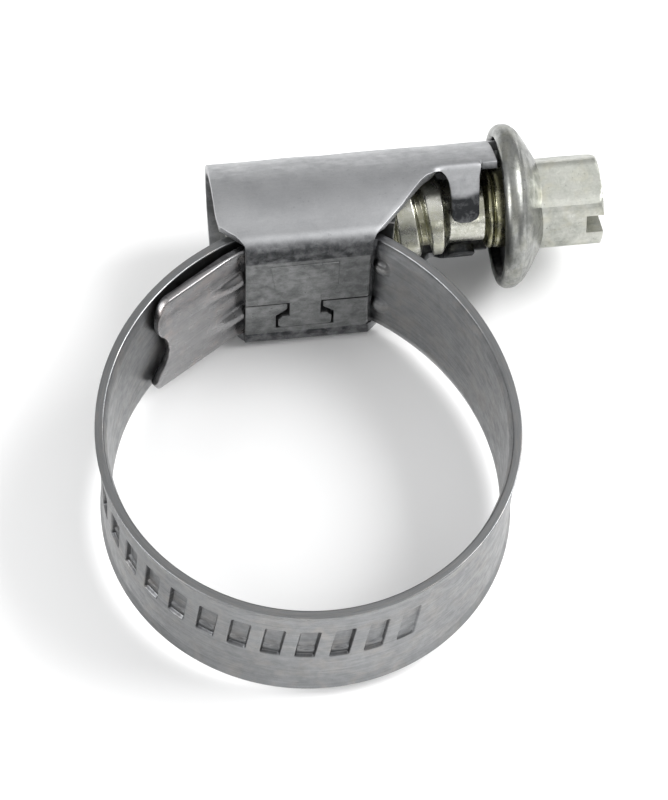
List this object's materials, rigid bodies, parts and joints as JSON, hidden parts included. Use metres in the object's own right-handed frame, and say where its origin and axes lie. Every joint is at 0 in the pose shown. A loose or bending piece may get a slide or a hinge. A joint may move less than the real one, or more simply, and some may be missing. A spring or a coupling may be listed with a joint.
{
  "type": "worm-drive hose clamp",
  "caption": "Steel worm-drive hose clamp with a grooved band, a folded housing and a hexagon-head screw that tightens the ring.",
  "frame": {"origin": "centre of the ring's round lower half, midway across the band's width", "axes": "+Z along the ring's axis, +Y from the ring's centre to the housing, +X along the screw towards its head"},
  "size_m": [0.0423, 0.0449, 0.0146],
  "materials": {
    "housing": "satin pressed sheet",
    "band": "satin rolled strip",
    "screw": "zinc plated, slightly yellow"
  },
  "bodies": {
    "housing": {"housing": "housing", "band_anchor": "band"},
    "screw": {"screw": "screw"},
    "tongue": {"band_tongue": "band"},
    "link_01": {"band_link_01": "band"},
    "link_02": {"band_link_02": "band"},
    "link_03": {"band_link_03": "band"},
    "link_04": {"band_link_04": "band"},
    "link_05": {"band_link_05": "band"},
    "link_06": {"band_link_06": "band"},
    "link_07": {"band_link_07": "band"},
    "link_08": {"band_link_08": "band"},
    "link_09": {"band_link_09": "band"},
    "link_10": {"band_link_10": "band"},
    "link_11": {"band_link_11": "band"},
    "link_12": {"band_link_12": "band"},
    "link_13": {"band_link_13": "band"},
    "link_14": {"band_link_14": "band"},
    "link_15": {"band_link_15": "band"},
    "link_16": {"band_link_16": "band"},
    "link_17": {"band_link_17": "band"},
    "link_18": {"band_link_18": "band"},
    "link_19": {"band_link_19": "band"}
  },
  "joints": [
    {"name": "screw_turn", "type": "hinge", "parent": "housing", "child": "screw", "pos_m": [0.02, 0.02219, 0], "axis": [-1, 0, 0], "range_deg": [0, 1620]},
    {"name": "tongue_flex", "type": "hinge", "parent": "housing", "child": "tongue", "pos_m": [-0.00342, 0.01637, 0], "axis": [0, 0, 1], "range_deg": [0, 12.82]},
    {"name": "band_flex_01", "type": "hinge", "parent": "housing", "child": "link_01", "pos_m": [0.01124, 0.01248, 0], "axis": [0, 0, -1], "range_deg": [0, 3.19]},
    {"name": "band_flex_02", "type": "hinge", "parent": "link_01", "child": "link_02", "pos_m": [0.01386, 0.00808, 0], "axis": [0, 0, -1], "range_deg": [0, 3.16]},
    {"name": "band_flex_03", "type": "hinge", "parent": "link_02", "child": "link_03", "pos_m": [0.0153, 0.00316, 0], "axis": [0, 0, -1], "range_deg": [0, 3.11]},
    {"name": "band_flex_04", "type": "hinge", "parent": "link_03", "child": "link_04", "pos_m": [0.01543, -0.00196, 0], "axis": [0, 0, -1], "range_deg": [0, 3.03]},
    {"name": "band_flex_05", "type": "hinge", "parent": "link_04", "child": "link_05", "pos_m": [0.01395, -0.00686, 0], "axis": [0, 0, -1], "range_deg": [0, 2.9]},
    {"name": "band_flex_06", "type": "hinge", "parent": "link_05", "child": "link_06", "pos_m": [0.01097, -0.01102, 0], "axis": [0, 0, -1], "range_deg": [0, 2.71]},
    {"name": "band_flex_07", "type": "hinge", "parent": "link_06", "child": "link_07", "pos_m": [0.0068, -0.01398, 0], "axis": [0, 0, -1], "range_deg": [0, 2.47]},
    {"name": "band_flex_08", "type": "hinge", "parent": "link_07", "child": "link_08", "pos_m": [0.0019, -0.01543, 0], "axis": [0, 0, -1], "range_deg": [0, 2.2]},
    {"name": "band_flex_09", "type": "hinge", "parent": "link_08", "child": "link_09", "pos_m": [-0.00322, -0.01521, 0], "axis": [0, 0, -1], "range_deg": [0, 1.91]},
    {"name": "band_flex_10", "type": "hinge", "parent": "link_09", "child": "link_10", "pos_m": [-0.00798, -0.01335, 0], "axis": [0, 0, -1], "range_deg": [0, 1.66]},
    {"name": "band_flex_11", "type": "hinge", "parent": "link_10", "child": "link_11", "pos_m": [-0.01188, -0.01003, 0], "axis": [0, 0, -1], "range_deg": [0, 1.48]},
    {"name": "band_flex_12", "type": "hinge", "parent": "link_11", "child": "link_12", "pos_m": [-0.01449, -0.00564, 0], "axis": [0, 0, -1], "range_deg": [0, 1.39]},
    {"name": "band_flex_13", "type": "hinge", "parent": "link_12", "child": "link_13", "pos_m": [-0.01554, -0.00063, 0], "axis": [0, 0, -1], "range_deg": [0, 1.39]},
    {"name": "band_flex_14", "type": "hinge", "parent": "link_13", "child": "link_14", "pos_m": [-0.01501, 0.00447, 0], "axis": [0, 0, -1], "range_deg": [0, 1.48]},
    {"name": "band_flex_15", "type": "hinge", "parent": "link_14", "child": "link_15", "pos_m": [-0.0131, 0.00923, 0], "axis": [0, 0, -1], "range_deg": [0, 1.59]},
    {"name": "band_flex_16", "type": "hinge", "parent": "link_15", "child": "link_16", "pos_m": [-0.00997, 0.01328, 0], "axis": [0, 0, -1], "range_deg": [0, 1.67]},
    {"name": "band_flex_17", "type": "hinge", "parent": "link_16", "child": "link_17", "pos_m": [-0.00585, 0.01633, 0], "axis": [0, 0, -1], "range_deg": [0, 1.62]},
    {"name": "band_flex_18", "type": "hinge", "parent": "link_17", "child": "link_18", "pos_m": [-0.00106, 0.01814, 0], "axis": [0, 0, -1], "range_deg": [0, 1.6]},
    {"name": "band_flex_19", "type": "hinge", "parent": "link_18", "child": "link_19", "pos_m": [0.00405, 0.01857, 0], "axis": [0, 0, -1], "range_deg": [0, 1.6]}
  ],
  "couplings": [
    {"joint": "tongue_flex", "follows": "screw_turn", "ratio": 0.007853},
    {"joint": "band_flex_01", "follows": "screw_turn", "ratio": 0.0019409},
    {"joint": "band_flex_02", "follows": "screw_turn", "ratio": 0.0019219},
    {"joint": "band_flex_03", "follows": "screw_turn", "ratio": 0.0018888},
    {"joint": "band_flex_04", "follows": "screw_turn", "ratio": 0.001837},
    {"joint": "band_flex_05", "follows": "screw_turn", "ratio": 0.0017578},
    {"joint": "band_flex_06", "follows": "screw_turn", "ratio": 0.0016442},
    {"joint": "band_flex_07", "follows": "screw_turn", "ratio": 0.0014968},
    {"joint": "band_flex_08", "follows": "screw_turn", "ratio": 0.0013259},
    {"joint": "band_flex_09", "follows": "screw_turn", "ratio": 0.0011508},
    {"joint": "band_flex_10", "follows": "screw_turn", "ratio": 0.0009952},
    {"joint": "band_flex_11", "follows": "screw_turn", "ratio": 0.0008817},
    {"joint": "band_flex_12", "follows": "screw_turn", "ratio": 0.0008253},
    {"joint": "band_flex_13", "follows": "screw_turn", "ratio": 0.0008292},
    {"joint": "band_flex_14", "follows": "screw_turn", "ratio": 0.0008807},
    {"joint": "band_flex_15", "follows": "screw_turn", "ratio": 0.0009515},
    {"joint": "band_flex_16", "follows": "screw_turn", "ratio": 0.0009995},
    {"joint": "band_flex_17", "follows": "screw_turn", "ratio": 0.0009704},
    {"joint": "band_flex_18", "follows": "screw_turn", "ratio": 0.0009598},
    {"joint": "band_flex_19", "follows": "screw_turn", "ratio": 0.0009598}
  ]
}
